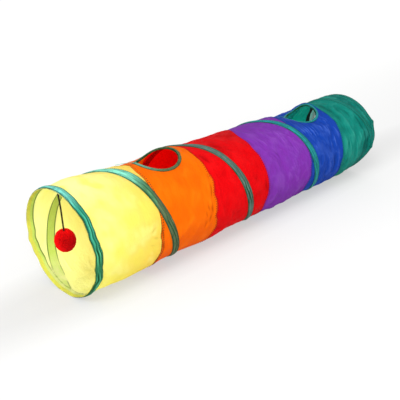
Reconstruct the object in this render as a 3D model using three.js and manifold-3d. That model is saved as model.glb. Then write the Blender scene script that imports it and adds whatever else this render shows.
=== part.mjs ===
// A cloth cat tunnel held open by a helical spring wire, lying on a flat surface.
// Millimetres, +Z up. +X runs along the tunnel from its mouth to its far end, and -Y is its near side.
// The origin is on the surface, under the middle of the tunnel.
// An angle is measured round the tube in degrees from its crown, positive towards the near side.

import * as THREE from "three";
import Module from "manifold-3d";
import { mergeVertices } from "three/addons/utils/BufferGeometryUtils.js";

// Driving dimensions
const TUBE_RADIUS = 124; // outer face of the cloth where the wire holds it round
const CLOTH_THICKNESS = 1.2;
const TAPE_WIDTH = 20; // of the spiral tape
const RING_TAPE_WIDTH = 16; // of the tapes round the mouth and the far end
const TAPE_EDGE = 1.0; // thickness of a tape at its edges
const TAPE_RIDGE = 2.8; // thickness of a tape over the wire
const SLIM_RIDGE = 1.7; // the same on the green panel, where the tape hardly shows
const RIDGE_SHARE = 0.14; // half of the ridge's flat top, as a share of the tape's width
const FLAT_DEPTH = 3.5; // how far the round tube is pressed flat where it lies
const HEM_SHOWING = 0.8; // cloth that shows past the ring tapes at both rims
const SEAM_GAP = 0.3; // between neighbouring panels
const TAPE_GAP = 0.4; // between a tape and what it is sewn over
const STATIONS = 60; // sections round the tube
const PANEL_ROWS = 5;

const AXIS_HEIGHT = TUBE_RADIUS + TAPE_GAP + TAPE_RIDGE - FLAT_DEPTH;
const STATION_STEP = 360 / STATIONS;
// The lowest height of each layer where the tube lies flat
const TAPE_FLOOR = 0;
const TAPE_INNER_FLOOR = TAPE_FLOOR + TAPE_EDGE;
const CLOTH_FLOOR = TAPE_INNER_FLOOR + TAPE_GAP;
const CLOTH_INNER_FLOOR = CLOTH_FLOOR + CLOTH_THICKNESS;

// Rims and seams: mean place along X, and how far each leans forward at the crown and at the near side
const MOUTH_RIM = { x: -522.3, crown: 6, near: 14 };
const END_RIM = { x: 528, crown: 0, near: 0 };
const SEAMS = [
  { x: -343, crown: 14, near: 4 },
  { x: -182, crown: 12, near: 12 },
  { x: 10, crown: -8, near: 10 },
  { x: 188, crown: -8, near: 14 },
  { x: 364, crown: -9, near: -6 },
];
// Where a seam strays from that plane: the angle, the half-angle that it covers and the reach along X
const SEAM_SWAYS = [
  { seam: 0, angle: 125, spread: 38, reach: 7 },
  { seam: 1, angle: 128, spread: 42, reach: 15 },
  { seam: 1, angle: -48, spread: 44, reach: -36 },
  { seam: 2, angle: -28, spread: 52, reach: 28 },
  { seam: 3, angle: -22, spread: 46, reach: 10 },
  { seam: 3, angle: 14, spread: 30, reach: -5 },
];
// Where the far rim is crumpled out along X: the angle, the half-angle that it covers and the reach
const END_CRUMPLES = [
  { angle: 60, spread: 14, reach: 9.5 },
  { angle: 80, spread: 20, reach: 5 },
  { angle: 100, spread: 10, reach: 6 },
  { angle: -75, spread: 42, reach: 9.5 },
];

const PANELS = [
  { name: "panel_yellow", colour: 0xfdf58a },
  { name: "panel_orange", colour: 0xff7f0c },
  { name: "panel_red", colour: 0xec1016 },
  { name: "panel_purple", colour: 0x8437b0 },
  { name: "panel_blue", colour: 0x2342b6 },
  { name: "panel_green", colour: 0x1e8773 },
];

// The wire's path under the spiral tape: the angle that it has turned through, and how far along X it is
const WIRE = [
  { turn: -180, x: -512 },
  { turn: -135, x: -502 },
  { turn: -90, x: -474 },
  { turn: -60, x: -448 },
  { turn: -20, x: -392 },
  { turn: 15, x: -356 },
  { turn: 60, x: -327 },
  { turn: 110, x: -295 },
  { turn: 180, x: -260 },
  { turn: 270, x: -221 },
  { turn: 305, x: -203 },
  { turn: 335, x: -180 },
  { turn: 350, x: -153 },
  { turn: 380, x: -113 },
  { turn: 426, x: -72 },
  { turn: 487, x: -31 },
  { turn: 540, x: 13 },
  { turn: 630, x: 70 },
  { turn: 700, x: 116 },
  { turn: 735, x: 160 },
  { turn: 755, x: 183 },
  { turn: 787, x: 210 },
  { turn: 832, x: 239 },
  { turn: 900, x: 292 },
  { turn: 990, x: 370 },
  { turn: 1080, x: 448 },
  { turn: 1170, x: 520 },
];
const WIRE_START = WIRE[0].turn;
const WIRE_END = WIRE[WIRE.length - 1].turn;

// The cloth sags inwards between two passes of the wire
const SAG_MEAN = 0.1; // at half height, midway between passes a whole pitch apart
const SAG_CROWN = 1.2; // added at the crown and taken off at the bottom, where the cloth hangs out
const WIRE_PITCH = 265;

// Folds and bulges of the cloth: where each is, how far it reaches along X, the half-angle and the height
const FOLDS = [
  { x: -522, angle: -100, reach: 45, spread: 18, height: -4 }, // kink in the mouth's far side
  { x: -345, angle: 128, reach: 55, spread: 45, height: 2 }, // slack under the first seam
  { x: -455, angle: -21, reach: 62, spread: 47, height: 6 }, // swollen crown of the yellow panel
  { x: -292, angle: -18, reach: 68, spread: 20, height: -9 }, // dip before the front hole
  { x: -207, angle: -13, reach: 59, spread: 43, height: 8 }, // lifted edge of the front hole
  { x: 95, angle: 70, reach: 70, spread: 35, height: -3 }, // hollow in the purple panel
  { x: 271, angle: -1, reach: 88, spread: 47, height: -20 }, // dip before the back hole
  { x: 355, angle: -11, reach: 46, spread: 27, height: 9.5 }, // lifted edge of the back hole
  { x: 325, angle: 72, reach: 60, spread: 30, height: -3 }, // hollow in the blue panel
  { x: 475, angle: -22, reach: 100, spread: 50, height: 7 }, // swollen crown near the far end
  { x: 530, angle: 128, reach: 110, spread: 45, height: -9 }, // the far end drawn in below
];

// Peep holes on the crown: the panel each is in, its place, the radii inside its binding along X and
// round the tube, and how far the oval is turned, its near end towards the mouth
const HOLES = [
  {
    panel: "panel_orange",
    name: "hole_binding_orange",
    x: -251,
    angle: 1.3,
    along: 52.5,
    across: 52,
    turn: 12,
  },
  {
    panel: "panel_blue",
    name: "hole_binding_blue",
    x: 292,
    angle: 3.2,
    along: 46.8,
    across: 54.6,
    turn: 54,
  },
];
const HOLE_STATIONS = 40;
const HOLE_WEB = 1.6; // binding between the opening and the cloth's edge
const HOLE_LEG = 6; // binding beyond the cloth's edge, on both faces
const HOLE_TAPE = 1.0; // thickness of each leg
const HOLE_ROLL = 1.4; // thickness where the binding is rolled round the edge
const HOLE_GAP = 0.95;
const CUTTER_HEIGHT = 90; // above the axis at the cutter's foot and again to its top

// The toy: a cord from the mouth's rim with a pompom
const CORD_RADIUS = 1.75;
const CORD_SIDES = 8;
const CORD_STEPS = 18;
const CORD_ROUTE = [
  [-511.7, -13.0, 245.3],
  [-511.7, -13.0, 239.5],
  [-511.6, -13.1, 233.6],
  [-511.5, -13.2, 227.7],
  [-511.4, -13.3, 221.8],
  [-511.3, -13.4, 215.9],
  [-511.2, -13.5, 210.0],
  [-511.2, -13.5, 204.1],
  [-511.3, -13.4, 198.3],
  [-511.4, -13.3, 192.4],
  [-511.5, -13.2, 186.5],
  [-511.6, -13.1, 180.6],
  [-511.6, -13.1, 174.7],
  [-511.7, -13.0, 168.8],
  [-511.7, -13.0, 162.9],
  [-511.7, -13.0, 157.0],
];
const POMPOM_CORE = 19; // radius of the ball that the locks are fused into
const POMPOM_LOCK = 3.2; // mean height of a lock
const POMPOM_STRETCH = 1.16; // taller than wide
const POMPOM_DETAIL = 2; // subdivision of the ball, one three-sided lock to a face
const POMPOM_BARE_ANGLE = 14; // no lock this near the cord
const CORD_SEAT = 0.3; // gap between the cord's ends and what they meet
// The locks' uneven heights: the share by which they differ, and two beats along the row of faces
const LOCK_UNEVENNESS = { share: 0.25, beat: 1.7, crossBeat: 0.9 };

const TAPE_COLOUR = 0x2f8f7c;
const CORD_COLOUR = 0x1c1512;
const POMPOM_COLOUR = 0xd8040e;
const ROUGHNESS = { cloth: 0.55, tape: 0.5, cord: 0.8, pompom: 0.95 };

// Small helpers
const { degToRad, euclideanModulo, lerp, clamp } = THREE.MathUtils;
const cosine = (degrees) => Math.cos(degToRad(degrees));
const sine = (degrees) => Math.sin(degToRad(degrees));
const turnBetween = (a, b) => euclideanModulo(a - b + 180, 360) - 180;
const sum = (numbers) => numbers.reduce((total, number) => total + number, 0);

// 1 at the middle, falling smoothly to 0 at the ends
function swell(offset, reach) {
  const share = Math.abs(offset) / reach;
  return share < 1 ? Math.cos((share * Math.PI) / 2) ** 2 : 0;
}

function leaning(edge, angle) {
  return edge.x + edge.crown * cosine(angle) + edge.near * sine(angle);
}

function mouthRim(angle) {
  return leaning(MOUTH_RIM, angle);
}

function endRim(angle) {
  const crumples = END_CRUMPLES.map((c) => c.reach * swell(turnBetween(angle, c.angle), c.spread));
  return leaning(END_RIM, angle) + sum(crumples);
}

// The wire's place along X at a turn, by a smooth curve through the table's rows
function wireAt(turn) {
  const rows = WIRE;
  const next = clamp(rows.findIndex((row) => row.turn >= turn), 1, rows.length - 1);
  const [before, a, b, after] = [next - 2, next - 1, next, next + 1].map(
    (i) => rows[clamp(i, 0, rows.length - 1)],
  );
  const span = b.turn - a.turn;
  const t = (turn - a.turn) / span;
  const slopeA = ((b.x - before.x) / (b.turn - before.turn)) * span;
  const slopeB = ((after.x - a.x) / (after.turn - a.turn)) * span;
  const rise = b.x - a.x;
  return a.x + t * (slopeA + t * (3 * rise - 2 * slopeA - slopeB + t * (slopeA + slopeB - 2 * rise)));
}

// Every place along X where the wire passes under one line of the tube, from the mouth to the far end
function wirePasses(angle) {
  const passes = [mouthRim(angle) + RING_TAPE_WIDTH / 2];
  for (let turn = turnBetween(angle, 0); turn <= WIRE_END; turn += 360) {
    passes.push(wireAt(turn));
  }
  passes.push(endRim(angle) - RING_TAPE_WIDTH / 2);
  return passes;
}

function sag(x, angle) {
  const passes = wirePasses(angle);
  const right = passes.findIndex((pass) => pass > x);
  if (right < 1) return 0;
  const span = passes[right] - passes[right - 1];
  const share = (x - passes[right - 1]) / span;
  const depth = (SAG_MEAN + SAG_CROWN * cosine(angle)) * Math.min(1, span / WIRE_PITCH) ** 2;
  return depth * 4 * share * (1 - share);
}

// The smooth outer radius of the cloth
function smoothRadius(x, angle) {
  const folds = FOLDS.map(
    (f) => f.height * swell(x - f.x, f.reach) * swell(turnBetween(angle, f.angle), f.spread),
  );
  return TUBE_RADIUS - sag(x, angle) + sum(folds);
}

function seamAt(number, angle) {
  const sways = SEAM_SWAYS.filter((s) => s.seam === number).map(
    (s) => s.reach * swell(turnBetween(angle, s.angle), s.spread),
  );
  return leaning(SEAMS[number], angle) + sum(sways);
}

// The two ends of a panel along one line of the tube
function panelSpan(number, angle) {
  const start = number === 0 ? mouthRim(angle) : seamAt(number - 1, angle);
  const end = number === PANELS.length - 1 ? endRim(angle) : seamAt(number, angle);
  return [start, end];
}

// The radius of the faceted cloth at one of the stations
function stationRadius(x, angle) {
  const found = PANELS.findIndex((panel, number) => x <= panelSpan(number, angle)[1]);
  const [start, end] = panelSpan(found < 0 ? PANELS.length - 1 : found, angle);
  const row = clamp(((x - start) / (end - start)) * PANEL_ROWS, 0, PANEL_ROWS);
  const low = Math.min(Math.floor(row), PANEL_ROWS - 1);
  const rowX = (k) => lerp(start, end, k / PANEL_ROWS);
  return lerp(smoothRadius(rowX(low), angle), smoothRadius(rowX(low + 1), angle), row - low);
}

// The radius of the faceted cloth anywhere: on the chord between two stations
function clothRadius(x, angle) {
  const low = Math.floor(angle / STATION_STEP) * STATION_STEP;
  const a = stationRadius(x, low);
  const b = stationRadius(x, low + STATION_STEP);
  return (a * b * sine(STATION_STEP)) / (a * sine(angle - low) + b * sine(low + STATION_STEP - angle));
}

function tubePoint(x, angle, radius, floor) {
  const z = AXIS_HEIGHT + radius * cosine(angle);
  return new THREE.Vector3(x, -radius * sine(angle), Math.max(z, floor));
}

// A closed solid through a row of sections with the same number of points
function loft(sections, closed) {
  const sides = sections[0].length;
  const index = [];
  const spans = closed ? sections.length : sections.length - 1;
  for (let i = 0; i < spans; i++) {
    const here = i * sides;
    const next = ((i + 1) % sections.length) * sides;
    for (let j = 0; j < sides; j++) {
      const k = (j + 1) % sides;
      index.push(here + j, next + j, next + k);
      index.push(here + j, next + k, here + k);
    }
  }
  if (!closed) {
    const end = (sections.length - 1) * sides;
    for (let j = 1; j < sides - 1; j++) {
      index.push(0, j, j + 1);
      index.push(end, end + j + 1, end + j);
    }
  }
  return new THREE.BufferGeometry().setFromPoints(sections.flat()).setIndex(index);
}

const stationAngles = Array.from({ length: STATIONS }, (_, i) => i * STATION_STEP);

// A panel: a thin tube between two seams
function panelGeometry(number) {
  const sections = stationAngles.map((angle) => {
    const [start, end] = panelSpan(number, angle);
    const from = number === 0 ? start : start + SEAM_GAP / 2;
    const to = number === PANELS.length - 1 ? end : end - SEAM_GAP / 2;
    const rows = Array.from({ length: PANEL_ROWS + 1 }, (_, k) => lerp(from, to, k / PANEL_ROWS));
    const radii = rows.map((x) => stationRadius(x, angle));
    const outer = rows.map((x, k) => tubePoint(x, angle, radii[k], CLOTH_FLOOR));
    const inner = rows.map((x, k) =>
      tubePoint(x, angle, radii[k] - CLOTH_THICKNESS, CLOTH_INNER_FLOOR),
    );
    return [...outer, ...inner.reverse()];
  });
  return loft(sections, true);
}

// One section of a tape sewn over the wire, seated on the cloth between two places along X
function tapeSection(left, right, angle) {
  const middle = (left + right) / 2;
  const ridge = RIDGE_SHARE * (right - left);
  const seat = (x) => stationRadius(x, angle) + TAPE_GAP;
  const lift = Math.max(0, seat(middle) - (seat(left) + seat(right)) / 2);
  const innerLeft = seat(left) + lift;
  const innerRight = seat(right) + lift;
  const onGreen = middle > seamAt(SEAMS.length - 1, angle);
  const ridgeRadius = seat(middle) + (onGreen ? SLIM_RIDGE : TAPE_RIDGE);
  return [
    tubePoint(left, angle, innerLeft + TAPE_EDGE, TAPE_FLOOR),
    tubePoint(middle - ridge, angle, ridgeRadius, TAPE_FLOOR),
    tubePoint(middle + ridge, angle, ridgeRadius, TAPE_FLOOR),
    tubePoint(right, angle, innerRight + TAPE_EDGE, TAPE_FLOOR),
    tubePoint(right, angle, innerRight, TAPE_INNER_FLOOR),
    tubePoint(left, angle, innerLeft, TAPE_INNER_FLOOR),
  ];
}

function mouthTapeSpan(angle) {
  const left = mouthRim(angle) + HEM_SHOWING;
  return [left, left + RING_TAPE_WIDTH];
}

function endTapeSpan(angle) {
  const right = endRim(angle) - HEM_SHOWING;
  return [right - RING_TAPE_WIDTH, right];
}

function ringTapeGeometry(span) {
  return loft(stationAngles.map((angle) => tapeSection(...span(angle), angle)), true);
}

// The spiral tape comes out from beside the mouth's ring and runs in beside the far end's
function spiralTapeGeometry() {
  const sections = [];
  for (let turn = WIRE_START; turn <= WIRE_END; turn += STATION_STEP) {
    const angle = turnBetween(turn, 0);
    const left = Math.max(wireAt(turn) - TAPE_WIDTH / 2, mouthTapeSpan(angle)[1] + TAPE_GAP);
    const right = Math.min(wireAt(turn) + TAPE_WIDTH / 2, endTapeSpan(angle)[0] - TAPE_GAP);
    sections.push(tapeSection(left, right, angle));
  }
  return loft(sections, false);
}

// A place on the cloth round a peep hole: the direction from its middle, and how far outside its opening
function roundHole(hole, direction, outside) {
  const along = (hole.along + outside) * cosine(direction);
  const across = (hole.across + outside) * sine(direction);
  const arc = across * cosine(hole.turn) + along * sine(hole.turn);
  return {
    x: hole.x + along * cosine(hole.turn) - across * sine(hole.turn),
    angle: hole.angle + arc / degToRad(TUBE_RADIUS),
  };
}

// The folded binding round a hole's edge, with one leg on each face of the cloth
function holeBindingGeometry(hole) {
  const legEnd = HOLE_WEB + HOLE_LEG;
  const legRoot = HOLE_WEB - HOLE_GAP;
  const under = -CLOTH_THICKNESS - HOLE_GAP;
  const profile = [
    { outside: 0, height: HOLE_GAP + HOLE_TAPE / 2 },
    { outside: HOLE_WEB, height: HOLE_GAP + HOLE_ROLL },
    { outside: legEnd, height: HOLE_GAP + HOLE_TAPE },
    { outside: legEnd, height: HOLE_GAP },
    { outside: legRoot, height: HOLE_GAP },
    { outside: legRoot, height: under },
    { outside: legEnd, height: under },
    { outside: legEnd, height: under - HOLE_TAPE },
    { outside: HOLE_WEB, height: under - HOLE_ROLL },
    { outside: 0, height: under - HOLE_TAPE / 2 },
  ];
  const sections = Array.from({ length: HOLE_STATIONS }, (_, i) =>
    profile.map((corner) => {
      const { x, angle } = roundHole(hole, (360 * i) / HOLE_STATIONS, corner.outside);
      return tubePoint(x, angle, clothRadius(x, angle) + corner.height, CLOTH_FLOOR);
    }),
  );
  return loft(sections, true);
}

// Solids for joining and cutting
const wasm = await Module();
wasm.setup();

function solidOf(geometry) {
  const bare = geometry.clone();
  bare.deleteAttribute("normal");
  bare.deleteAttribute("uv");
  const merged = mergeVertices(bare);
  return new wasm.Manifold(
    new wasm.Mesh({
      numProp: 3,
      vertProperties: merged.getAttribute("position").array,
      triVerts: new Uint32Array(merged.index.array),
    }),
  );
}

function geometryOf(solid) {
  const mesh = solid.getMesh();
  return new THREE.BufferGeometry()
    .setAttribute("position", new THREE.BufferAttribute(mesh.vertProperties, 3))
    .setIndex(new THREE.BufferAttribute(mesh.triVerts, 1));
}

// The panel with its peep hole cut straight down through the crown
function withHole(geometry, hole) {
  const outline = Array.from({ length: HOLE_STATIONS }, (_, i) => {
    const { x, angle } = roundHole(hole, (-360 * i) / HOLE_STATIONS, HOLE_WEB);
    return new THREE.Vector2(x, -clothRadius(x, angle) * sine(angle));
  });
  const cutter = new THREE.ExtrudeGeometry(new THREE.Shape(outline), {
    depth: CUTTER_HEIGHT,
    bevelEnabled: false,
  });
  cutter.translate(0, 0, AXIS_HEIGHT + CUTTER_HEIGHT / 2);
  return geometryOf(solidOf(geometry).subtract(solidOf(cutter)));
}

// The cord: a round section along its route
function cordGeometry() {
  const section = new THREE.Shape(
    Array.from({ length: CORD_SIDES }, (_, i) => {
      const direction = (360 * i) / CORD_SIDES;
      return new THREE.Vector2(CORD_RADIUS * cosine(direction), CORD_RADIUS * sine(direction));
    }),
  );
  const route = new THREE.CatmullRomCurve3(CORD_ROUTE.map((point) => new THREE.Vector3(...point)));
  return new THREE.ExtrudeGeometry(section, {
    steps: CORD_STEPS,
    extrudePath: route,
    bevelEnabled: false,
  });
}

// The pompom: a ball with a short three-sided lock standing on each face
function pompomGeometry() {
  const ball = new THREE.IcosahedronGeometry(POMPOM_CORE, POMPOM_DETAIL);
  const position = ball.getAttribute("position");
  const corners = Array.from({ length: position.count }, (_, i) =>
    new THREE.Vector3().fromBufferAttribute(position, i),
  );
  const up = new THREE.Vector3(0, 0, 1);
  const points = [];
  for (let i = 0; i < corners.length; i += 3) {
    const [a, b, c] = corners.slice(i, i + 3);
    const middle = new THREE.Vector3().add(a).add(b).add(c).normalize();
    if (middle.angleTo(up) < degToRad(POMPOM_BARE_ANGLE)) {
      points.push(a, b, c);
      continue;
    }
    const { share, beat, crossBeat } = LOCK_UNEVENNESS;
    const height = POMPOM_LOCK * (1 + share * Math.sin(i * beat) * Math.cos(i * crossBeat));
    const tip = middle.multiplyScalar(POMPOM_CORE + height);
    points.push(a, b, tip, b, c, tip, c, a, tip);
  }
  const geometry = new THREE.BufferGeometry().setFromPoints(points);
  return mergeVertices(geometry.scale(1, 1, POMPOM_STRETCH));
}

// The tunnel
const tunnel = new THREE.Group();

function add(name, geometry, colour, roughness) {
  const material = new THREE.MeshStandardMaterial({ color: colour, roughness, metalness: 0 });
  const mesh = new THREE.Mesh(geometry, material);
  mesh.name = name;
  tunnel.add(mesh);
  return mesh;
}

PANELS.forEach((panel, number) => {
  const hole = HOLES.find((h) => h.panel === panel.name);
  const whole = panelGeometry(number);
  add(panel.name, hole ? withHole(whole, hole) : whole, panel.colour, ROUGHNESS.cloth);
});
add("mouth_binding", ringTapeGeometry(mouthTapeSpan), TAPE_COLOUR, ROUGHNESS.tape);
add("spiral_binding", spiralTapeGeometry(), TAPE_COLOUR, ROUGHNESS.tape);
add("end_binding", ringTapeGeometry(endTapeSpan), TAPE_COLOUR, ROUGHNESS.tape);
HOLES.forEach((hole) => add(hole.name, holeBindingGeometry(hole), TAPE_COLOUR, ROUGHNESS.tape));

add("pompom_cord", cordGeometry(), CORD_COLOUR, ROUGHNESS.cord);
const pompom = add("pompom", pompomGeometry(), POMPOM_COLOUR, ROUGHNESS.pompom);
const [cordX, cordY, cordZ] = CORD_ROUTE[CORD_ROUTE.length - 1];
pompom.position.set(cordX, cordY, cordZ - CORD_SEAT - POMPOM_CORE * POMPOM_STRETCH);

export default tunnel;
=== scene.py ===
"""The looks of a spring-wire cat tunnel in rainbow cloth, with its tapes, peep holes and pompom toy.

Metres, in the part's own frame: +X runs from the mouth to the far end, +Z is up and -Y is the near side.
An angle is measured round the tube in degrees from its crown, positive towards the near side.
The tables of the cloth's shape are in millimetres and degrees.
"""
import math

import bpy
import numpy as np
from mathutils import Matrix, Vector
from mathutils import noise as smooth_noise


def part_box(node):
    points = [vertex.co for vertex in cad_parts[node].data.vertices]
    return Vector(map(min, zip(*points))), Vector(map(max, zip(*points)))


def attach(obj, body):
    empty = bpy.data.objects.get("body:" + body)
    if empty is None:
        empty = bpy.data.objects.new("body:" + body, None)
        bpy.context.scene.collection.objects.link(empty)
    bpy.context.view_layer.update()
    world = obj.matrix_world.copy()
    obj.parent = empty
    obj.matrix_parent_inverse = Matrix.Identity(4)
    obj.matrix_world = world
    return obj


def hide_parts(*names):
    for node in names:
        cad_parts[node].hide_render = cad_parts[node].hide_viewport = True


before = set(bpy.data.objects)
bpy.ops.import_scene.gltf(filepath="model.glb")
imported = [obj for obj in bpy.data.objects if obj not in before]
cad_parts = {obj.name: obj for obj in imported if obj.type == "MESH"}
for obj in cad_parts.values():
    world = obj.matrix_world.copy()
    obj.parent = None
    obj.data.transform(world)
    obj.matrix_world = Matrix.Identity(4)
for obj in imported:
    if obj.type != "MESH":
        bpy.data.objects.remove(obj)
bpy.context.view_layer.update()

MM = 0.001

# Sizes that the solids have too, and the height of the lowest tape and cloth
TUBE_RADIUS = 0.124
AXIS_HEIGHT = 0.1237
CLOTH_THICKNESS = 0.0011
TAPE_WIDTH = 0.02
RING_TAPE_WIDTH = 0.016
TAPE_GAP = 0.0003
TAPE_FLOOR = 0.0
CLOTH_FLOOR = 0.0014
HEM_SHOWING = 0.0008
SEAM_GAP = 0.0003

# Edges of the panels, from the mouth's rim through the seams to the far rim: the mean place along X, how far
# the edge leans forward at the crown and at the near side, and its strays (angle, half-angle and reach)
EDGES = [
    {"x": -522.3, "crown": 6, "near": 14, "strays": [
        (-104, 9, -3), (-128, 10, 2), (30, 8, -1.2), (48, 9, 1.8), (66, 7, -2), (82, 8, 2.2), (97, 6, -2),
        (112, 8, 1.8), (128, 8, -1.4),
    ]},
    {"x": -343, "crown": 14, "near": 4, "strays": [
        (125, 38, 7), (16, 14, -3), (-1, 15, 2), (91, 8, -3), (125, 16, -6), (-80, 9, 4),
    ]},
    {"x": -182, "crown": 12, "near": 12, "strays": [
        (128, 42, 15), (-48, 44, -36), (4, 12, 3), (34, 10, 2), (56, 8, 3), (71, 9, -5), (97, 7, -4),
        (126, 14, -7), (-31, 16, -9), (-120, 8, -4),
    ]},
    {"x": 10, "crown": -8, "near": 10, "strays": [
        (-28, 52, 28), (10, 26, -5), (38, 13, -4), (112, 22, -7), (-96, 10, 5),
    ]},
    {"x": 188, "crown": -8, "near": 14, "strays": [
        (-22, 46, 10), (14, 30, -5), (90, 10, -3), (118, 16, -7), (-24, 18, -5), (-70, 8, -4),
    ]},
    {"x": 364, "crown": -9, "near": -6, "strays": [(48, 44, 6), (42, 8, 3), (104, 14, -5), (-105, 9, 4)]},
    {"x": 528, "crown": 0, "near": 0, "strays": [
        (61.5, 14, 7), (61.5, 4, 4.5), (80, 20, 5), (100.5, 9, 3.5), (101, 3.5, 3), (-75, 42, 18.5),
        (-60, 10, 3), (-110, 9, -3),
    ]},
]
MOUTH_RIM = 0
END_RIM = len(EDGES) - 1

# The wire's path under the spiral tape: the angle that it has turned through, and its place along X
WIRE = np.array([
    (-180, -512), (-135, -502), (-90, -474), (-60, -448), (-20, -392), (15, -356), (60, -327), (110, -295),
    (180, -260), (270, -221), (305, -203), (335, -180), (350, -153), (380, -113), (426, -72), (487, -31),
    (540, 13), (630, 70), (700, 116), (735, 160), (755, 183), (787, 210), (832, 239), (900, 292), (990, 370),
    (1080, 448), (1170, 520),
]) * (1, MM)
WIRE_START = WIRE[0, 0]
WIRE_END = WIRE[-1, 0]
WIRE_LAPS = 4
WIRE_PITCH = 0.265
# Where the tape lies slack: the turn, the half-turn and how much wider each half is
TAPE_SLACK = [(10, 50, 3.5), (370, 34, 2), (440, 50, 1), (724, 42, 3), (784, 58, 1.8)]
SAG_MEAN = 0.0001
SAG_CROWN = 0.0012

# Folds and bulges of the cloth: place, angle, reach along X, half-angle and height
FOLDS = [
    (-522, -100, 45, 18, -4), (-345, 128, 55, 45, 2), (-455, -21, 62, 47, 6), (-292, -18, 68, 20, -9),
    (-207, -13, 59, 43, 8), (95, 70, 70, 35, -3), (271, -1, 88, 47, -20), (355, -11, 46, 27, 9.5),
    (325, 72, 60, 30, -3), (475, -22, 100, 50, 7), (530, 128, 110, 45, -9),
]

# Slack cloth between the tapes, low on both sides: place, angle, reach along X, half-angle and height
SLACK = [
    (-415, 148, 80, 40, 3.5), (-175, 148, 100, 40, 3.5), (115, 148, 90, 40, 3.5), (330, 148, 60, 36, 2),
    (-330, -146, 90, 40, 3), (-60, -146, 100, 40, 3), (210, -146, 90, 40, 3),
]

# Creases that show on the near side: from place and angle, to place and angle, half-width and height
CREASES = np.array([
    (-349, 80, -366, 85, 3.6, -2), (-345, 94, -358, 91, 3.4, -2.2), (-346, 72, -366, 78, 6, 0.5),
    (-350, 112, -378, 105, 6, 0.5), (-470, 40, -440, 60, 12, 0.7), (-168.5, 46, -172, 56, 3, -1.3),
    (-172, 59, -178, 71, 3.4, -2.1), (-179, 66, -181, 77, 3, -1.4), (-184, 81, -181, 92, 3.6, -2.2),
    (-196, 79, -192, 88, 3.4, -1.8), (-186, 93, -192, 102, 3.6, -1.9), (-204, 86, -198, 95, 3.6, -1.3),
    (-200, 98, -206, 108, 4, -1.6), (-190, 74, -186, 84, 3, 1.6), (-336, 84, -331, 96, 3, -2.6),
    (-334, 101, -328, 112, 3, -2.4), (-355, 101, -372, 97, 3, -1.4), (-215, 30, -232, 44, 7, 0.8),
    (-240, 84, -268, 98, 8, 1), (-150, 22, -142, 44, 5, -1), (-146, 66, -150, 88, 4.5, -1),
    (-95, 40, -110, 58, 7, 1), (-118, 96, -104, 110, 6, -1), (6, 80, 16, 95, 6, -2.2),
    (20, 92, 28, 104, 3.5, -1.4), (36, 24, 49, 42, 1.8, -1.1), (43, 24, 56, 40, 1.6, 1),
    (71, 26, 82, 38, 2, -1.3), (60, 28, 72, 42, 1.6, 1), (62, 50, 78, 62, 1.8, 1.2),
    (68, 49, 84, 60, 1.6, -1.1), (56, 54, 70, 64, 1.6, 0.9), (108, 26, 114, 48, 2, -1),
    (116, 24, 123, 50, 1.8, 1.1), (126, 28, 132, 46, 1.8, 0.9), (140, 40, 146, 60, 1.6, -1.1),
    (86, 84, 88, 104, 2.2, -1), (104, 86, 104, 106, 2, 1), (124, 84, 122, 102, 2, -1),
    (206, 30, 220, 48, 2, 1.6), (218, 29, 230, 50, 1.6, 1.6), (229, 30, 236, 48, 1.3, 2),
    (243, 30, 250, 53, 1.3, 2.2), (231, 43, 247, 58, 1.4, 1.8), (256, 30, 262, 50, 1.8, 1.4),
    (238, 34, 243, 54, 1.8, -1.4), (286, 34, 290, 50, 2.2, 1.4), (300, 36, 310, 56, 3, 1.2),
    (316, 40, 312, 58, 2, 1.4), (308, 62, 306, 82, 2.6, 1.6), (326, 56, 330, 76, 2.2, 1.6),
    (274, 76, 292, 92, 3, 1.3), (312, 90, 326, 104, 3, -1.2), (340, 44, 350, 62, 3, 1.4),
    (336, 86, 342, 106, 3, 1.2), (382, 36, 388, 54, 2.2, 1.2), (376, 62, 380, 84, 2.2, 1.4),
    (396, 70, 400, 92, 2.2, 1.5), (388, 92, 392, 110, 3, -1.2), (412, 52, 426, 78, 3, 1.4),
    (428, 74, 442, 100, 2.6, 1.7), (441, 30, 440, 50, 2.6, -1.3), (452, 68, 459, 84, 2, 2.2),
    (462, 42, 474, 65, 3, -2.6), (474, 65, 484, 90, 3, -3), (486, 50, 496, 78, 4, 2.4),
    (500, 56, 501, 66, 2.2, -3.4), (501, 66, 511, 72, 2.2, -3.4), (492, 76, 504, 100, 3.5, -2.4),
    (512, 84, 520, 102, 3, -3), (472, 56, 483, 77, 11, -1.2), (483, 77, 481, 101, 13, -1.2),
    (481, 101, 500, 128, 15, -1.2),
]) * (MM, 1, MM, 1, MM, MM)
# The same kind of creases, scattered by a loop where the photo doesn't look: the least and the most of the
# place, angle, reach along X, turn round the tube, half-width and height
SCATTER_SEED = 11
SCATTER_COUNT = 70
SCATTER_RANGES = [
    (-0.49, 0.5), (-165, -38), (-0.018, 0.018), (8, 24), (0.002, 0.006), (0.0009, 0.0016),
]

# How far from a tape the cloth is fully slack
SLACK_CLEAR = 0.03

# Gathered cloth beside seams and tapes: the number of gathers, how far they wander, the mean and the uneven
# share of their height, and the raised lip along a seam
PUCKER_WAVES = 62
PUCKER_WANDER = 5
PUCKER_SHARES = (0.2, 0.8)
PUCKER_HEIGHT = 0.0003
PUCKER_REACH = 0.009
LIP_REACH = (0.0027, 0.0045)
LIP_HEIGHT = 0.0006
FREE_OF_TAPE = (0.0005, 0.006)

# Peep holes: panel, binding, place, angle, radii along X and round the tube, turn of the oval
HOLES = {
    "panel_orange": {
        "binding": "hole_binding_orange",
        "x": -0.251, "angle": 1.3, "along": 0.0525, "across": 0.052, "turn": 12,
        "tail": ((-0.3, -4), (-0.34, -17)),
    },
    "panel_blue": {
        "binding": "hole_binding_blue",
        "x": 0.292, "angle": 3.2, "along": 0.0468, "across": 0.0546, "turn": 54,
        "tail": ((0.246, -4), (0.226, -14)),
    },
}
HOLE_WEB = 0.0016
HOLE_LEG = 0.006
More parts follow.
